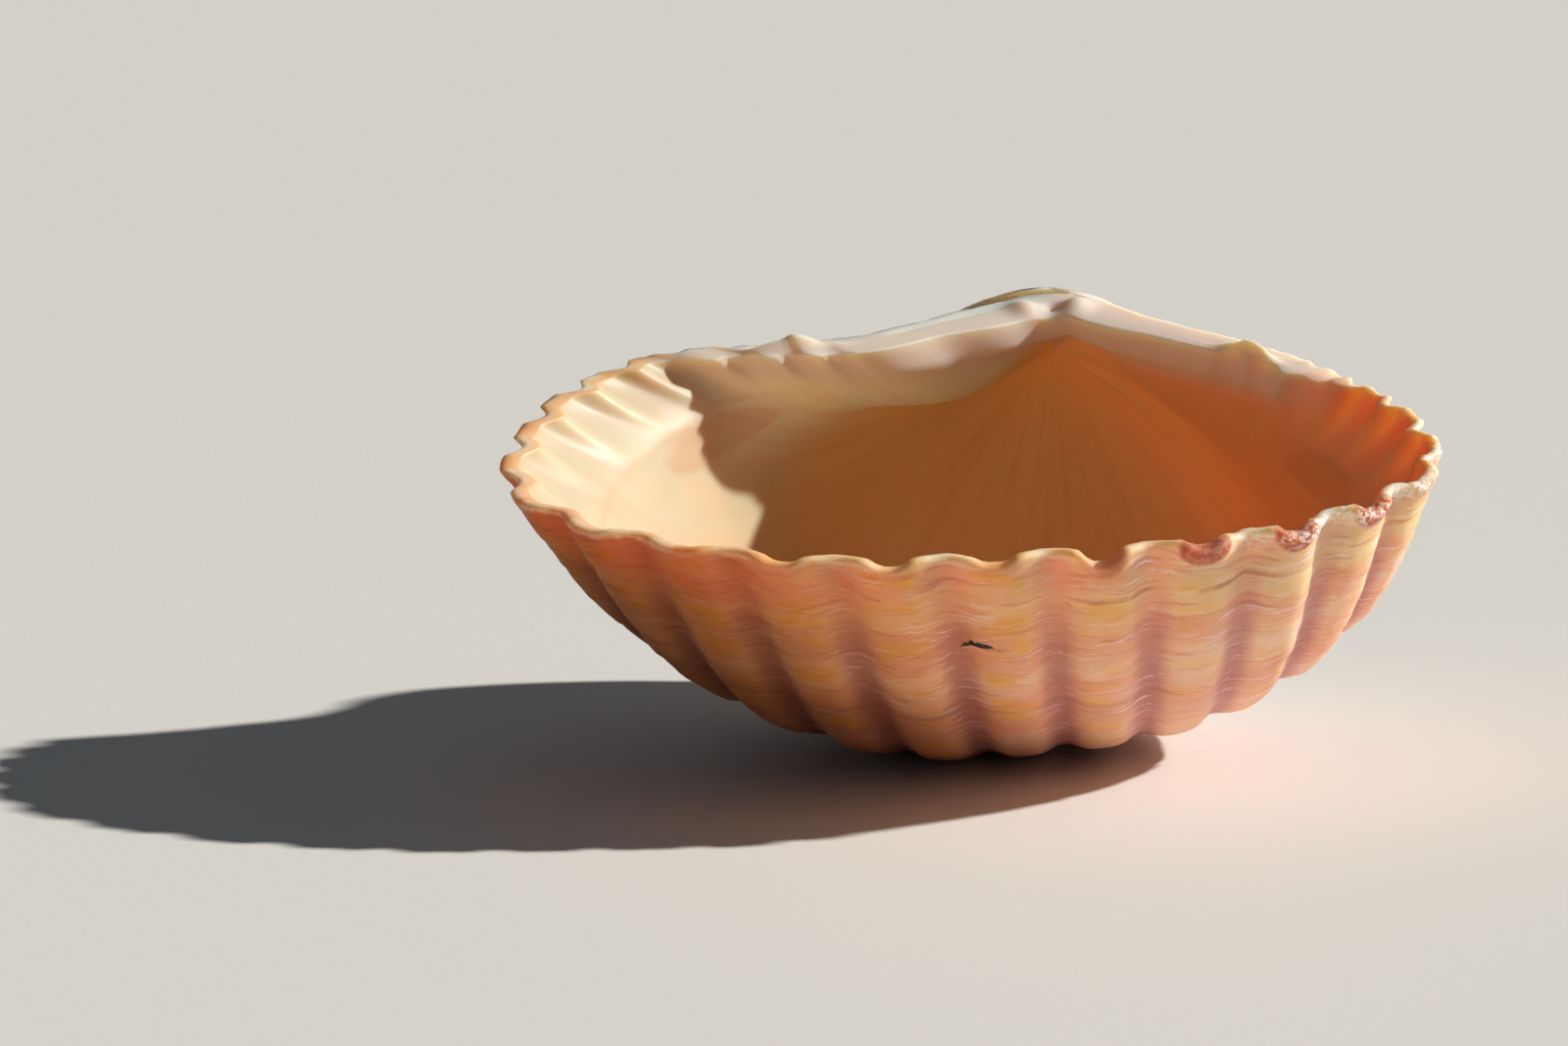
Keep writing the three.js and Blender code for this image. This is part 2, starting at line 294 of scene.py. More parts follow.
def outer_points(col, turn):
    wear = smoothstep(turn, RIB_WEAR_FROM, RIB_WEAR_TO)
    lift = RIB_HEIGHT * col.relief * mix(1, WORN_RIB_HEIGHT, wear)
    x = col.point[:, 0] + col.outward[:, 0] * lift
    y = col.point[:, 1] + col.outward[:, 1] * lift
    return coil(x, y, -EDGE_DIP * col.relief, turn)


def thickness(col, turn):
    from_edge = col.size * turn
    edge = mix(EDGE_THICKNESS, WALL_THICKNESS, smoothstep(from_edge, 0, WALL_THICKENING))
    wall = mix(edge, UMBO_THICKNESS, smoothstep(turn, UMBO_THICKENING_FROM, HOLLOW_TURN))
    depth = (np.abs(col.point[:, 1]) + col.plate) * np.sin(turn)
    plate_share = 1 - smoothstep(depth / PLATE_THICKNESS, *PLATE_BLEND)
    hinge_wall = mix(WALL_THICKNESS, col.plate, plate_share)
    rear = 1 - REAR_THICKENING * (col.point[:, 0] - REAR_THICKENING_FROM)
    return mix(wall, hinge_wall, col.hinge) * rear


def inner_points(col, turn):
    crenulation = col.relief * (1 - smoothstep(col.size * turn, 0, CRENULATION_LENGTH))
    lift = RIB_HEIGHT * crenulation
    inset = thickness(col, turn) / np.maximum(shrinkage(turn), 1e-6)
    kept = (1 - inset / col.reach) * closing(turn, HOLLOW_TURN, HOLLOW_BLUNTNESS)
    x = HOLLOW_CENTRE[0] - col.inward[:, 0] * col.reach * kept + col.outward[:, 0] * lift
    y = HOLLOW_CENTRE[1] - col.inward[:, 1] * col.reach * kept + col.outward[:, 1] * lift
    return coil(x, y, -EDGE_DIP * crenulation, turn)


# ---- Rows of the mesh ---------------------------------------------------------------------------

def spaced_turns(points_at, last_turn, spacing):
    """Turns from the edge to a blind end, whose rows are close together at the edge and wider later."""
    turns = last_turn * (1 - (1 - np.linspace(0, 1, SPACING_SAMPLES)) ** 3)
    line = points_at(turns)
    travelled = np.concatenate([[0], np.cumsum(np.linalg.norm(np.diff(line, axis=0), axis=1))])
    gap = mix(spacing[0], spacing[1], smoothstep(travelled, SPACING_FROM, SPACING_TO))
    count = np.concatenate([[0], np.cumsum(np.diff(travelled) / gap[1:])])
    rows = int(count[-1])
    return np.interp(np.arange(rows) * count[-1] / rows, count, turns)


def middle_column(columns):
    """The columns' values at the middle rib alone, for spacing the rows."""
    middle = int(np.argmin(np.abs(columns.rib)))
    return SimpleNamespace(**{name: value[middle:middle + 1] for name, value in vars(columns).items()})


def edge_loss(col):
    """How much of the open edge is gone at each column, from notches, chips and wear."""
    strong = 1 - smoothstep(np.abs(col.rib), RIB_FADE_FROM, RIB_SIDES + 0.5)
    uneven = 1 + NOTCH_UNEVENNESS * np.sin(col.rib.round() * 2.4)
    rear = mix(REAR_NOTCH, 1, smoothstep(-col.rib, -2.5, 1.0))
    front = mix(1, FRONT_NOTCH, smoothstep(-col.rib, 4.0, 6.0))
    bite = smoothstep(col.crest, 0.0, 1.0) * col.ribbed
    loss = CREST_NOTCH * uneven * (rear * front) * bite * mix(LAST_NOTCH, 1, strong)
    loss += GROOVE_TRIM * (1 - col.relief) * strong
    for rib, half_width, depth in NICKS:
        across = np.clip(np.abs(col.rib - rib) / half_width, 0, 1)
        loss += depth * (1 - across**2) ** 1.5
    coarse = np.array([noise.noise(Vector((d * 2.3, 4.2, 0.7))) for d in col.distance])
    fine = np.array([noise.noise(Vector((d * 6.1, 1.2, 3.3))) for d in col.distance])
    rough = smoothstep(-col.rib, -ROUGH_EDGE_FROM, -ROUGH_EDGE_FROM + 1.2) * (1 - col.hinge)
    jitter = (coarse + 0.6 * fine) * mix(*EDGE_JITTER, rough) * (1 - col.hinge)
    return loss + jitter + ROUGH_EDGE_LOSS * rough


def build_grid(col):
    """Rings of points from the beak over the outside, the edge and the inside to the blind end."""
    mid = middle_column(col)
    outer = spaced_turns(lambda turn: outer_points_line(mid, turn), BEAK_TURN, OUTER_SPACING)[1:]
    inner = spaced_turns(lambda turn: inner_points_line(mid, turn), HOLLOW_TURN, INNER_SPACING)[1:]
    loss = edge_loss(col) / col.size
    settle = EDGE_SHIFT_LENGTH / col.size
    rounding = EDGE_ROUNDING / col.size * (1 - 0.7 * col.hinge)
    rings, turns, inside = [], [], []

    def shifted(turn):
        """A row's turn at each column, moved off the lost edge and back to its own place below it."""
        near = (1 - smoothstep(turn, 0, 1)) * np.clip(1 - turn / settle, 0, 1) ** 2
        return turn + (loss + rounding) * near

    for turn in outer[::-1]:
        at = shifted(turn)
        rings.append(outer_points(col, at))
        turns.append(at)
        inside.append(0.0)
    for step in range(RIM_ROWS + 1):
        share = step / RIM_ROWS
        at = loss + rounding * (1 - np.sin(np.pi * share))
        rings.append(mix(outer_points(col, at), inner_points(col, at), share))
        turns.append(at)
        inside.append(share)
    for turn in inner:
        at = shifted(turn)
        rings.append(inner_points(col, at))
        turns.append(at)
        inside.append(1.0)
    turns = np.array(turns)
    inside = np.repeat(np.array(inside)[:, None], turns.shape[1], 1)
    return SimpleNamespace(
        points=np.array(rings), turn=turns, inside=inside,
        growth=turns * GROWTH_REACH, edge=turns * col.size, loss=loss * col.size)


def outer_points_line(mid, turns):
    return np.array([outer_points(mid, np.array([turn]))[0] for turn in turns])


def inner_points_line(mid, turns):
    return np.array([inner_points(mid, np.array([turn]))[0] for turn in turns])


# ---- Fine relief --------------------------------------------------------------------------------

def noise_at(points, scale, offset):
    """Smooth noise between about -1 and 1, at points in millimetres, with this many waves per mm."""
    flat = points.reshape(-1, 3) * scale + offset
    return np.array([noise.noise(Vector(p)) for p in flat]).reshape(points.shape[:-1])


def grid_normals(points):
    down = np.gradient(points, axis=0)
    around = (np.roll(points, -1, 1) - np.roll(points, 1, 1)) / 2
    normal = np.cross(around, down)
    return normal / np.maximum(np.linalg.norm(normal, axis=-1, keepdims=True), 1e-12)


def add_masks(grid, col):
    """Where each feature is, from 0 to 1; the relief and the material both use these."""
    out = 1 - grid.inside
    away = grid.edge - grid.loss
    front = smoothstep(-col.rib, 1.6, 2.8) * (1 - smoothstep(-col.rib, 5.0, 6.5))
    scooped = smoothstep(col.crest, -0.4, 0.5) * col.ribbed
    grid.wobble = noise_at(grid.points, 0.32, 7.0)
    grid.line = grid.growth - GROWTH_DIP * col.relief + 0.25 * grid.wobble
    grid.pocket = (scooped * (1 - smoothstep(away, 0.35, POCKET_LENGTH)) * out
                   * mix(FAINT_POCKET, 1.0, front) * (1 - col.hinge) * (np.abs(col.rib) < LAST_POCKET))
    grid.rough = (smoothstep(-col.rib, -ROUGH_EDGE_FROM - 0.4, -ROUGH_EDGE_FROM + 1.0)
                  * (1 - smoothstep(away, 0.2, 1.3)) * (1 - col.hinge))
    grid.groove = (1 - col.relief) * (np.abs(col.rib) < RIB_SIDES + 0.45) * np.ones_like(out)
    across = (col.rib - PIT_RIB) / PIT_HALF_WIDTH
    bow = PIT_GROWTH + PIT_ARCH * across**2 + PIT_TILT * across
    dent = np.clip(1 - np.abs(grid.growth - bow) / PIT_HALF_HEIGHT, 0, 1)
    pit = np.clip(1 - across**2, 0, 1) * dent
    grid.pit = smoothstep(pit, 0.05, 0.5) * (grid.inside == 0)
    grid.worn = smoothstep(grid.turn, WORN_FROM, WORN_TO) * (grid.inside == 0)
    grid.scar = np.zeros_like(out)
    for distance, depth, half_along, half_across in MUSCLE_SCARS:
        shape = ((col.distance - distance) / half_along) ** 2 + ((grid.edge - depth) / half_across) ** 2
        grid.scar = np.maximum(grid.scar, (1 - smoothstep(shape, 0.75, 1.1)) * (grid.inside == 1))
    x, y, z = np.moveaxis(grid.points, -1, 0)
    # Painted light: a cream patch on the upper inner wall below the hinge, between the rear end and the
    # middle.
    grid.pale = smoothstep(z, -6.0, -3.0) * smoothstep(-x, -1.0, 2.5) * smoothstep(y, -15.0, -10.0)
    grid.pale *= smoothstep(x, -15.0, -10.5)
    wave = PALLIAL_LINE + 0.3 * grid.wobble
    grid.pallial = np.exp(-((grid.edge - wave) / PALLIAL_HALF_WIDTH) ** 2)
    grid.pallial *= (grid.inside == 1) * (1 - col.hinge)
    grid.hinge = col.hinge * np.where(grid.inside > 0, 1 - smoothstep(grid.edge, 1.5, 4.0), 0.85)


def hinge_relief(grid, col):
    """Teeth, sockets and the ligament's groove on the hinge plate, as a rise out of its face."""
    x, y = grid.points[..., 0], grid.points[..., 1]
    rise = np.zeros_like(x)
    for (cx, cy), (half_x, half_y), height, turn in HINGE_RELIEF:
        c, s = np.cos(np.radians(turn)), np.sin(np.radians(turn))
        u, v = (x - cx) * c + (y - cy) * s, (y - cy) * c - (x - cx) * s
        shape = np.sqrt((u / half_x) ** 2 + (v / half_y) ** 2)
        within = 1 if height > 0 else 1 - smoothstep(grid.inside, 0.6, 0.9)
        rise += height * within * np.exp(-(shape / RELIEF_SPREAD) ** 2)
    start, end = LIGAMENT_GROOVE
    along = smoothstep(col.back, start - 0.5, start + 0.5) * (1 - smoothstep(col.back, end - 2, end))
    rise -= LIGAMENT_DEPTH * along * np.exp(-((grid.inside - 0.2) / 0.1) ** 2)
    face = np.clip((grid.inside - 0.04) / 0.1, 0, 1) * (1 - smoothstep(grid.edge, 0.2, 1.2))
    return rise * face * col.hinge


def surface_relief(grid, col):
    """Height added along the surface's own normal: ledges, waviness, pockets, pits and scars."""
    out = (grid.inside == 0).astype(float)
    height = np.zeros_like(grid.turn)
    fade = (1 - 0.75 * grid.worn) * smoothstep(grid.edge - grid.loss, 0.0, 0.35)
    for distance, rise, length in GROWTH_CHECKS:
        past = grid.line - distance
        ledge = smoothstep(past, 0, CHECK_SHARPNESS) * np.exp(-np.maximum(past, 0) / length)
        height += out * fade * rise * ledge
    waves = noise_at(grid.points, WAVES[0], 21.0)
    grain = noise_at(grid.points, GRAINS[0], 3.0)
    height += out * (WAVES[1] * waves + GRAINS[1] * grain)
    height += (grid.inside == 1) * INSIDE_WAVINESS * waves * smoothstep(grid.edge, 0.5, 4.0)
    height -= POCKET_DEPTH * grid.pocket
    height += ROUGHNESS * grid.rough * noise_at(grid.points, 3.4, 11.0)
    height -= PIT_DEPTH * grid.pit
    height -= SCAR_DEPTH * grid.scar + PALLIAL_DEPTH * grid.pallial
    return height


def lay_down(points):
    """Turns points of the shell's frame into the pose in which the valve rests on its back."""
    pose = Matrix.Rotation(REST_ROLL, 3, 'Y') @ Matrix.Rotation(REST_TILT, 3, 'X')
    return points @ np.array(pose).T


def make_surface():
    """The whole fine surface in the row's frame in millimetres, and where the mouth's middle lies."""
    col = make_columns()
    grid = build_grid(col)
    add_masks(grid, col)
    height = surface_relief(grid, col)
    rise = hinge_relief(grid, col)
    points = grid.points + grid_normals(grid.points) * height[..., None]
    points[..., 2] += rise
    blind_end = coil(HOLLOW_CENTRE[0], HOLLOW_CENTRE[1], 0.0, HOLLOW_TURN)
    every = np.vstack([points.reshape(-1, 3), [[0.0, 0.0, 0.0]], [blind_end]])
    laid = lay_down(every)
    lowest = laid[:, 2].min() + RUB_DEPTH
    laid[:, 2] = np.maximum(laid[:, 2], lowest)
    low, high = (np.array(corner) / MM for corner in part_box("valve"))
    middle = (laid.min(0) + laid.max(0)) / 2
    shift = (low + high) / 2 - middle
    shift[2] = low[2] - lowest
    return laid + shift, grid, col, lay_down(VIEW_CENTRE) + shift


def make_faces(rings, count):
    """Quads between neighbouring rings, and fans of triangles at the beak and the blind end."""
    ring, i = np.meshgrid(np.arange(rings - 1), np.arange(count), indexing='ij')
    a, b = ring * count + i, ring * count + (i + 1) % count
    quads = np.stack([a, a + count, b + count, b], -1).reshape(-1, 4)
    beak, blind_end = rings * count, rings * count + 1
    first, last = np.arange(count), (rings - 1) * count + np.arange(count)
    fan = np.stack([np.full(count, beak), first, np.roll(first, -1)], -1)
    end_fan = np.stack([last, np.full(count, blind_end), np.roll(last, -1)], -1)
    return quads.tolist() + fan.tolist() + end_fan.tolist()


def add_bake_map(mesh, rings, count):
    """A map with the outside, edge and inside unrolled, for anything that bakes the material."""
    layer = mesh.uv_layers.new(name="OFBake")
    corners = np.zeros(len(mesh.loops), int)
    mesh.loops.foreach_get("vertex_index", corners)
    face_of_corner = np.repeat(np.arange(len(mesh.polygons)), [p.loop_total for p in mesh.polygons])
    row, across = corners // count, (corners % count).astype(float)
    quads = (rings - 1) * count
    own = np.where(face_of_corner < quads, face_of_corner % count, (face_of_corner - quads) % count)
    across = np.where(across < own - 0.5, across + count, across)
    row = row.astype(float) + 1
    pole = corners >= rings * count
    across = np.where(pole, own + 0.5, across)
    row = np.where(corners == rings * count, 0, np.where(corners == rings * count + 1, rings + 1, row))
    margin = 0.01
    uv = np.stack([across / count, row / (rings + 1)], -1) * (1 - 2 * margin) + margin
    layer.data.foreach_set("uv", uv.astype(np.float32).ravel())


def make_valve():
    points, grid, col, mouth = make_surface()
    rings, count = grid.turn.shape
    mesh = bpy.data.meshes.new("valve_surface")
    mesh.from_pydata((points * MM).tolist(), [], make_faces(rings, count))
    mesh.polygons.foreach_set("use_smooth", np.ones(len(mesh.polygons), bool))
    shares = dict(
        growth=grid.line, depth=grid.growth, groove=grid.groove, inside=grid.inside,
        pocket=grid.pocket, rough=grid.rough, edge=grid.edge - grid.loss, worn=grid.worn,
        scar=grid.scar, pallial=grid.pallial, hinge=grid.hinge, pale=grid.pale,
        rib=np.repeat(col.rib[None], rings, 0))
    for name, value in shares.items():
        ends = [value[0].mean(), value[-1].mean()]
        attribute = mesh.attributes.new(name, 'FLOAT', 'POINT')
        attribute.data.foreach_set("value", np.concatenate([value.ravel(), ends]).astype(np.float32))
    add_bake_map(mesh, rings, count)
    mesh.validate()
    valve = bpy.data.objects.new("cockle_valve", mesh)
    bpy.context.scene.collection.objects.link(valve)
    return valve, Vector(mouth * MM)


# ---- Material -----------------------------------------------------------------------------------

def linear(red, green, blue):
    """A colour given as 0 to 255 display values, as linear light with full opacity."""
    shares = np.array([red, green, blue]) / 255
    light = np.where(shares <= 0.04045, shares / 12.92, ((shares + 0.055) / 1.055) ** 2.4)
    return (*light.tolist(), 1.0)


class Nodes:
    """Short ways to add the nodes that a material here needs."""

    def __init__(self, tree):
        self.tree = tree

    def add(self, kind, inputs=(), **settings):
        node = self.tree.nodes.new(kind)
        for name, value in settings.items():
            setattr(node, name, value)
        for name, value in dict(inputs).items():
            if isinstance(value, bpy.types.NodeSocket):
                self.tree.links.new(value, node.inputs[name])
            else:
                node.inputs[name].default_value = value
        return node

    def value(self, name):
        return self.add('ShaderNodeAttribute', attribute_name=name).outputs['Fac']

    def place(self):
        """The place on the object, in metres."""
        return self.add('ShaderNodeTexCoord').outputs['Object']

    def across(self):
        """The place along the hinge line, in metres: negative to the rear end, positive to the front."""
        return self.add('ShaderNodeSeparateXYZ', {0: self.place()}).outputs[0]

    def math(self, operation, a, b=0.0):
        return self.add('ShaderNodeMath', {0: a, 1: b}, operation=operation).outputs[0]

    def plus(self, a, b):
        return self.math('ADD', a, b)

    def minus(self, a, b):
        return self.math('SUBTRACT', a, b)

    def times(self, first, *others):
        product = first
        for factor in others:
            product = self.math('MULTIPLY', product, factor)
        return product

    def distance(self, a, b):
        return self.math('ABSOLUTE', self.minus(a, b))

    def vector(self, x, y, z):
        return self.add('ShaderNodeCombineXYZ', {0: x, 1: y, 2: z}).outputs[0]

    def noise(self, vector, scale, detail=2.0, roughness=0.5):
        inputs = {'Vector': vector, 'Scale': scale, 'Detail': detail, 'Roughness': roughness}
        return self.add('ShaderNodeTexNoise', inputs).outputs['Fac']

    def swing(self, noise, width):
        """Noise spread evenly about zero, over this width."""
        return self.times(self.minus(noise, 0.5), width)

    def step(self, value, low, high):
        """0 at low and 1 at high, smooth between and level beyond; low may be above high."""
        inputs = {'Value': value, 'From Min': low, 'From Max': high}
        return self.add('ShaderNodeMapRange', inputs, interpolation_type='SMOOTHSTEP').outputs['Result']

    def blend(self, share, a, b, mode='MIX'):
        inputs = {'Factor': share, 6: a, 7: b}
        return self.add('ShaderNodeMix', inputs, data_type='RGBA', blend_type=mode).outputs[2]

    def tint(self, share, colour, tone):
        """The colour, covered by this share of a tone given as display values."""
        return self.blend(share, colour, linear(*tone))

    def ramp(self, value, stops):
        node = self.add('ShaderNodeValToRGB', {'Fac': value})
        elements = node.color_ramp.elements
        while len(elements) < len(stops):
            elements.new(0.5)
        for element, (place, colour) in zip(elements, stops):
            element.position = place
            element.color = colour
        return node.outputs['Color']


# Tones as 0 to 255 display values.
OCHRE = (236, 164, 52)
FLUSH = (232, 142, 92)
# mauve of the grooves: partly their own tint, partly painted shade
MAUVE_AND_GROOVE_SHADE = (172, 98, 80)
BROWN = (184, 98, 56)
# painted shadow below the main ledges
LEDGE_SHADOW_BROWN = (126, 62, 30)
HINGE_WHITE = (226, 212, 198)
UMBO_WHITE = (236, 222, 204)
# painted shade inside the pit
PIT_SHADE_BLACK = (30, 18, 10)
EDGE_ORANGE = (242, 174, 116)
EDGE_CREAM = (252, 222, 198)
EDGE_TOP_CREAM = (252, 226, 206)
POCKET_RED = (168, 70, 30)
POCKET_GLINT = (226, 156, 120)
SPARKLE_WHITE = (255, 236, 230)
REAR_CREAM = (204, 188, 156)
MIDDLE_GOLD = (230, 186, 130)
FRONT_GOLD = (226, 182, 124)
# painted light on the inner wall below the hinge
PAINTED_LIGHT_CREAM = (248, 234, 208)
INSIDE_FLUSH = (228, 142, 98)
LIP_ORANGE = (240, 168, 112)
# painted glow deep in the cavity
PAINTED_GLOW_GOLD = (255, 212, 146)
RAY_ORANGE = (222, 128, 70)
SCAR_BROWN = (206, 140, 92)
FLOOR_WHITE = (228, 226, 221)

# Factors on linear light: painted light on the outside's front end, painted shade on its rear end and
# underside.
PAINTED_LIGHT_FRONT_TONE = (1.20, 1.36, 2.00, 1.0)
PAINTED_SHADE_REAR_TONE = (0.66, 0.50, 0.38, 1.0)
PAINTED_SHADE_UNDERSIDE_TONE = (0.70, 0.60, 0.52, 1.0)

RAMP_LENGTH = 40.0                  # distance from the edge, in millimetres, at the end of the colour ramp
BAND_DRIFT = 3.0                    # how far along growth, in millimetres, the bands wander
LINE_WAVER = 0.55                   # and the fine lines
OUTSIDE_BANDS = [
    (0.0, (240, 184, 124)), (1.2, (238, 164, 104)), (3.0, (242, 182, 112)), (4.6, (228, 156, 100)),
    (7.0, (240, 180, 124)), (10.0, (220, 148, 98)), (14.0, (230, 166, 118)), (19.0, (206, 140, 98)),
    (25.0, (226, 176, 136)), (32.0, (234, 204, 170)), (40.0, (238, 218, 192)),
]
# Fine growth lines: waves per millimetre, where on the noise they start and are full, share, colour.
GROWTH_LINES = [
    (5.0, 0.57, 0.66, 0.60, (248, 208, 186)),
    (9.0, 0.60, 0.68, 0.60, (250, 222, 206)),
    (18.0, 0.58, 0.70, 0.50, (244, 204, 180)),
    (7.0, 0.42, 0.34, 0.40, (180, 92, 54)),
    (13.0, 0.40, 0.30, 0.40, (156, 82, 54)),
]
# Painted shadow lines, in brown, below the main ledges: distance from the edge, half width, share,
# middle rib and ribs crossed on each side of it.
LEDGE_SHADOW_LINES = [
    (2.50, 0.14, 0.75, -2.8, 1.3), (9.6, 0.22, 0.25, 2.0, 6.0),
    (16.5, 0.25, 0.3, -2.0, 8.0), (25.0, 0.3, 0.3, 0.0, 12.0),
]


def outside_colour(n):
    """Bands and streaks along the growth lines, fine lines, painted shadow lines below the ledges, painted
    light and shade from end to end, and painted shade in the pit.
    """
    place, growth = n.place(), n.value('growth')
    wavy = n.plus(growth, n.swing(n.noise(place, 1100.0, 4.0, 0.65), LINE_WAVER))
    along_line = n.vector(growth, n.times(n.value('rib'), 0.45), 0.0)
    drifting = n.plus(growth, n.swing(n.noise(along_line, 0.9, 3.0, 0.6), BAND_DRIFT))
    stops = [(distance / RAMP_LENGTH, linear(*tone)) for distance, tone in OUTSIDE_BANDS]
    colour = n.ramp(n.math('DIVIDE', drifting, RAMP_LENGTH), stops)
    colour = add_streaks(n, colour, wavy, along_line)
    colour = add_growth_lines(n, colour, wavy)
    # painted shadow lines below the main ledges
    colour = add_ledge_shadow_lines(n, colour, wavy)
    # painted light on the front end, painted shade on the rear end and underneath
    colour = paint_light_and_shade_on_ends(n, colour)
    colour = n.tint(n.times(n.value('hinge'), 0.9), colour, HINGE_WHITE)
    chalky = n.step(n.noise(place, 900.0, 4.0, 0.6), 0.30, 0.62)
    colour = n.tint(n.times(n.value('worn'), chalky), colour, UMBO_WHITE)
    # painted shade, near black, inside the pit
    return n.tint(pit_shade_share(n), colour, PIT_SHADE_BLACK)


def add_streaks(n, colour, wavy, along_line):
    """Ochre patches on the ribs, orange flushes, grooves in mauve that is partly their own tint and partly
    painted shade, and brown streaks.
    """
    rib, groove = n.value('rib'), n.value('groove')
    patches = n.noise(n.vector(n.times(wavy, 1.3), n.times(rib, 1.6), 3.0), 0.75, 4.0)
    on_ribs = n.times(n.step(groove, 0.45, 0.02), n.step(n.value('worn'), 0.5, 0.0))
    fewer_in_front = n.plus(n.times(n.step(rib, -4.0, -0.5), 0.7), 0.3)
    ochre = n.times(n.step(patches, 0.47, 0.60), on_ribs, fewer_in_front)
    colour = n.tint(n.times(ochre, 0.8), colour, OCHRE)
    flushes = n.noise(n.vector(n.times(wavy, 0.8), n.times(rib, 0.9), 9.0), 0.8, 3.0)
    colour = n.tint(n.times(n.step(flushes, 0.50, 0.66), 0.45), colour, FLUSH)
    # The grooves' mauve, partly their own tint and partly painted shade, stronger farther from the edge,
    # lower on the outside.
    farther_from_edge = n.plus(n.times(n.step(n.value('growth'), 1.0, 8.0), 0.56), 0.20)
    colour = n.tint(n.times(n.step(groove, 0.2, 1.0), farther_from_edge), colour, MAUVE_AND_GROOVE_SHADE)
    brown = n.step(n.noise(along_line, 2.3, 4.0, 0.65), 0.52, 0.68)
    return n.tint(n.times(brown, 0.45), colour, BROWN)


def add_growth_lines(n, colour, wavy):
    rib = n.value('rib')
    for scale, start, full, share, tone in GROWTH_LINES:
        lines = n.noise(n.vector(wavy, n.times(rib, 0.22), scale), scale, 2.0, 0.7)
        breaks = n.step(n.noise(n.vector(wavy, n.times(rib, 1.1), scale), 1.6, 3.0), 0.40, 0.60)
        colour = n.tint(n.times(n.step(lines, start, full), breaks, share), colour, tone)
    return colour


def add_ledge_shadow_lines(n, colour, wavy):
    # Painted shadow: a thin, broken brown line below each main ledge.
    rib = n.value('rib')
    for distance, half_width, share, middle, span in LEDGE_SHADOW_LINES:
        thin = n.step(n.distance(wavy, distance), half_width * 1.8, 0.0)
        breaks = n.step(n.noise(n.vector(n.times(rib, 0.8), distance, 0.0), 1.6, 3.0), 0.34, 0.58)
        within = n.step(n.distance(rib, middle), span, span * 0.6)
        colour = n.tint(n.times(thin, breaks, within, share), colour, LEDGE_SHADOW_BROWN)
    return colour


def paint_light_and_shade_on_ends(n, colour):
    """Painted light towards the front end, and painted shade towards the rear end and underneath."""
    across = n.across()
    # painted light: the front end brightened by factors above one
    colour = n.blend(n.step(across, -0.009, 0.011), colour, PAINTED_LIGHT_FRONT_TONE, 'MULTIPLY')
    # painted shade: the rear end darkened
    colour = n.blend(n.step(across, 0.0, -0.013), colour, PAINTED_SHADE_REAR_TONE, 'MULTIPLY')
    # painted shade: the underside towards the rear end darkened
    underneath = n.times(n.step(n.value('growth'), 5.0, 12.0), n.step(n.value('worn'), 0.6, 0.0))
    rearward = n.step(across, 0.003, -0.004)
    return n.blend(n.times(underneath, rearward, 0.8), colour, PAINTED_SHADE_UNDERSIDE_TONE, 'MULTIPLY')


def pit_shade_share(n):
    """Painted shade in the crescent pit, where its dent is in the mesh: arched, and thicker at its right
    end.
    """
    across = n.math('DIVIDE', n.minus(n.value('rib'), PIT_RIB), PIT_HALF_WIDTH)
    square = n.times(across, across)
    arch = n.plus(n.times(square, PIT_ARCH), n.times(across, PIT_TILT))
    off = n.distance(n.value('depth'), n.plus(arch, PIT_GROWTH))
    tapered = n.math('MAXIMUM', n.minus(1.0, square), 0.0)
    half_height = n.times(tapered, n.minus(1.0, n.times(across, 0.6)), PIT_DARK_HALF_HEIGHT)
    dark = n.step(n.minus(off, half_height), 0.04, -0.05)
    return n.times(dark, n.step(n.value('inside'), 0.1, 0.0))


def edge_colour(n, colour):
    """The open edge: cream on its flat tops, with red-brown pockets and a rough glint at the front."""
    place, groove, pocket = n.place(), n.value('groove'), n.value('pocket')
    off_hinge = n.step(n.value('hinge'), 0.3, 0.0)
    mottled = n.plus(n.value('edge'), n.swing(n.noise(place, 1500.0, 3.0, 0.6), 0.9))
    near = n.times(n.step(mottled, 0.50, 0.0), off_hinge)
    cream = n.step(n.noise(place, 520.0, 2.0), 0.44, 0.60)
    colour = n.tint(n.times(near, 0.65), colour, EDGE_ORANGE)
    colour = n.tint(n.times(near, cream, 0.6), colour, EDGE_CREAM)
    colour = n.tint(n.times(n.step(groove, 0.2, 0.9), near, 0.35), colour, EDGE_TOP_CREAM)
    colour = n.tint(n.times(n.step(pocket, 0.05, 0.75), 0.9), colour, POCKET_RED)
    sparkle = n.step(n.noise(place, 4600.0, 3.0, 0.7), 0.46, 0.56)
    colour = n.tint(n.times(pocket, sparkle, 0.4), colour, POCKET_GLINT)
    patchy = n.step(n.noise(place, 760.0, 2.0), 0.30, 0.54)
    return n.tint(n.times(n.value('rough'), sparkle, patchy, 0.95), colour, SPARKLE_WHITE)


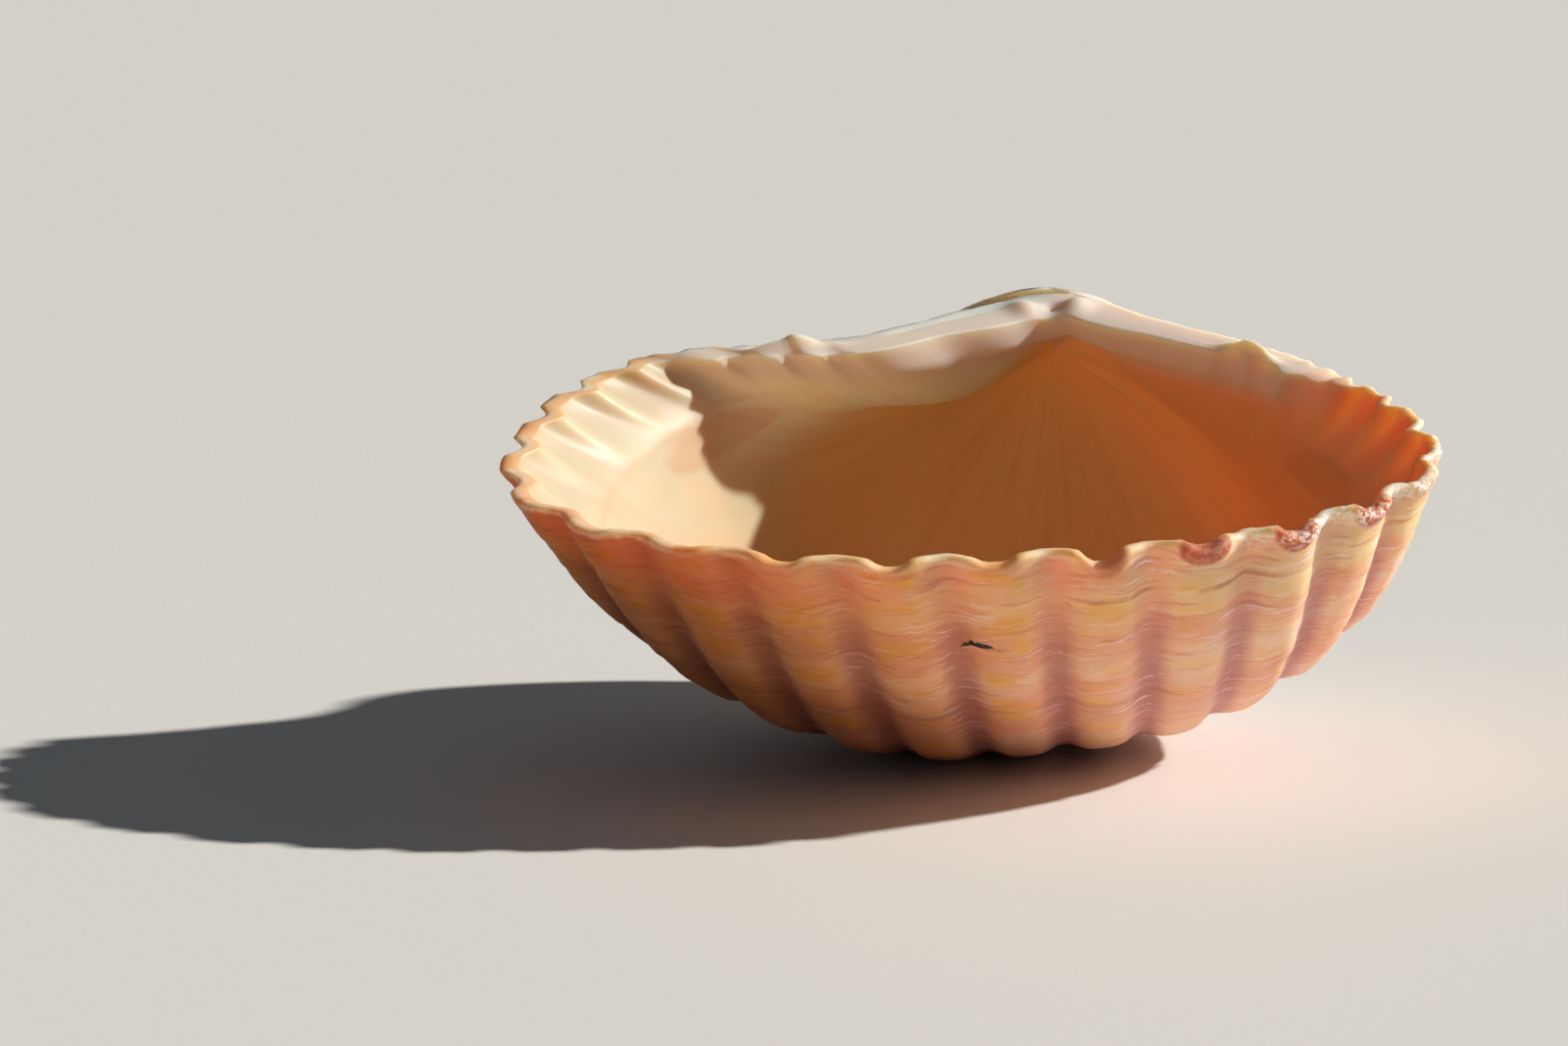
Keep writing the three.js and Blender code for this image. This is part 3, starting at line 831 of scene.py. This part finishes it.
def inside_colour(n):
    """Cream at the rear end, golden further on, orange at the lip, with faint rays and scars, a patch of
    painted light below the hinge and a painted glow deep in the cavity.
    """
    edge, growth, hinge = n.value('edge'), n.value('growth'), n.value('hinge')
    warped = n.plus(n.across(), n.swing(n.noise(n.place(), 210.0, 3.0, 0.6), 0.010))
    colour = n.tint(n.step(warped, -0.0115, -0.003), linear(*REAR_CREAM), MIDDLE_GOLD)
    colour = n.tint(n.step(warped, -0.002, 0.012), colour, FRONT_GOLD)
    # painted light: the cream patch below the hinge
    colour = n.tint(n.value('pale'), colour, PAINTED_LIGHT_CREAM)
    flush = n.times(n.step(edge, 2.6, 0.4), n.step(warped, -0.015, -0.004))
    colour = n.tint(n.times(flush, 0.7), colour, INSIDE_FLUSH)
    lip = n.times(n.step(edge, 0.6, 0.0), n.step(hinge, 0.3, 0.0))
    colour = n.tint(n.times(lip, 0.6), colour, LIP_ORANGE)
    # painted glow: the deep cavity towards the beak turned gold, as if lit through its thin wall
    colour = n.tint(n.step(growth, 20.0, 40.0), colour, PAINTED_GLOW_GOLD)
    rays = n.noise(n.vector(n.times(n.value('rib'), 2.2), n.times(growth, 0.05), 0.0), 1.0, 2.0)
    colour = n.tint(n.times(n.step(rays, 0.42, 0.66), 0.12), colour, RAY_ORANGE)
    marks = n.plus(n.times(n.value('scar'), 0.35), n.times(n.value('pallial'), 0.3))
    colour = n.tint(marks, colour, SCAR_BROWN)
    return n.tint(n.times(hinge, 0.9), colour, HINGE_WHITE)


def shell_bump(n):
    """Fine growth lines and grain outside, a faint silkiness inside."""
    place = n.place()
    along_line = n.vector(n.value('growth'), n.times(n.value('rib'), 0.12), 0.0)
    lines = n.times(n.noise(along_line, 8.0, 3.0, 0.7), 1.3)
    grain = n.times(n.noise(place, 3600.0, 3.0, 0.6), 0.35)
    less_inside = n.plus(n.times(n.step(n.value('inside'), 0.6, 0.1), 0.9), 0.08)
    sparkle = n.times(n.value('rough'), n.noise(place, 6500.0, 2.0, 0.7))
    height = n.plus(n.times(n.plus(lines, grain), less_inside), sparkle)
    return n.add('ShaderNodeBump', {'Strength': 0.55, 'Distance': 0.00007, 'Height': height}).outputs[0]


def shell_roughness(n, inner_share):
    """Duller outside than inside."""
    place = n.place()
    dull = n.plus(n.times(n.noise(place, 1500.0, 3.0), 0.3), 0.45)
    satin = n.plus(n.times(n.noise(place, 600.0, 3.0), 0.25), 0.38)
    inputs = {'Factor': inner_share, 2: dull, 3: satin}
    return n.add('ShaderNodeMix', inputs, data_type='FLOAT').outputs[0]


def make_shell_material():
    material = bpy.data.materials.new("cockle_shell")
    material.use_nodes = True
    n = Nodes(material.node_tree)
    shader = material.node_tree.nodes['Principled BSDF']
    inner_share = n.step(n.value('inside'), 0.35, 0.95)
    colour = n.blend(inner_share, edge_colour(n, outside_colour(n)), inside_colour(n))
    links = material.node_tree.links
    links.new(colour, shader.inputs['Base Color'])
    links.new(shell_roughness(n, inner_share), shader.inputs['Roughness'])
    links.new(shell_bump(n), shader.inputs['Normal'])
    shader.inputs['Subsurface Weight'].default_value = 0.65
    shader.inputs['Subsurface Radius'].default_value = (0.9, 0.42, 0.16)
    shader.inputs['Subsurface Scale'].default_value = 0.0025
    shader.inputs['IOR'].default_value = 1.5
    return material


def make_floor():
    half = FLOOR_SIZE / 2
    corners = [(-half, -half, 0), (half, -half, 0), (half, half, 0), (-half, half, 0)]
    mesh = bpy.data.meshes.new("floor_surface")
    mesh.from_pydata(corners, [], [(0, 1, 2, 3)])
    floor = bpy.data.objects.new("floor", mesh)
    bpy.context.scene.collection.objects.link(floor)
    material = bpy.data.materials.new("floor_paint")
    material.use_nodes = True
    n = Nodes(material.node_tree)
    shader = material.node_tree.nodes['Principled BSDF']
    shader.inputs['Base Color'].default_value = linear(*FLOOR_WHITE)
    shader.inputs['Roughness'].default_value = 0.6
    grain = n.noise(n.place(), 1800.0, 3.0)
    bump = n.add('ShaderNodeBump', {'Strength': 0.15, 'Distance': 0.00005, 'Height': grain})
    material.node_tree.links.new(bump.outputs[0], shader.inputs['Normal'])
    mesh.materials.append(material)


# ---- Camera and light ---------------------------------------------------------------------------

def make_camera(mouth):
    camera = bpy.data.objects.new("camera", bpy.data.cameras.new("camera"))
    bpy.context.scene.collection.objects.link(camera)
    camera.data.lens = CAMERA_LENS
    camera.data.sensor_width = 36.0
    camera.data.clip_start = 0.01
    c, s = np.cos(CAMERA_ELEVATION), np.sin(CAMERA_ELEVATION)
    away = Vector((0.0, -c, s)) * CAMERA_DISTANCE
    up = Vector((0.0, s, c)) * CAMERA_DROP
    camera.location = mouth + (away + up + Vector((CAMERA_ASIDE, 0.0, 0.0))) * MM
    camera.rotation_euler = (np.pi / 2 - CAMERA_ELEVATION, 0.0, 0.0)
    bpy.context.scene.camera = camera


def make_light():
    sun = bpy.data.objects.new("sun", bpy.data.lights.new("sun", 'SUN'))
    bpy.context.scene.collection.objects.link(sun)
    sun.data.energy = SUN_STRENGTH
    sun.data.angle = SUN_ANGLE
    sun.data.color = SUN_COLOUR
    level = np.cos(SUN_ELEVATION)
    rise = np.sin(SUN_ELEVATION)
    towards = Vector((level * np.cos(SUN_AZIMUTH), level * np.sin(SUN_AZIMUTH), rise))
    sun.rotation_euler = towards.to_track_quat('Z', 'Y').to_euler()
    world = bpy.data.worlds.new("sky")
    world.use_nodes = True
    background = world.node_tree.nodes['Background']
    background.inputs['Color'].default_value = (*SKY_COLOUR, 1.0)
    background.inputs['Strength'].default_value = SKY_STRENGTH
    bpy.context.scene.world = world
    bpy.context.scene.view_settings.view_transform = 'Standard'


valve, mouth = make_valve()
make_camera(mouth)
valve.data.materials.append(make_shell_material())
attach(valve, "root")
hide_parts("valve")
make_floor()
make_light()
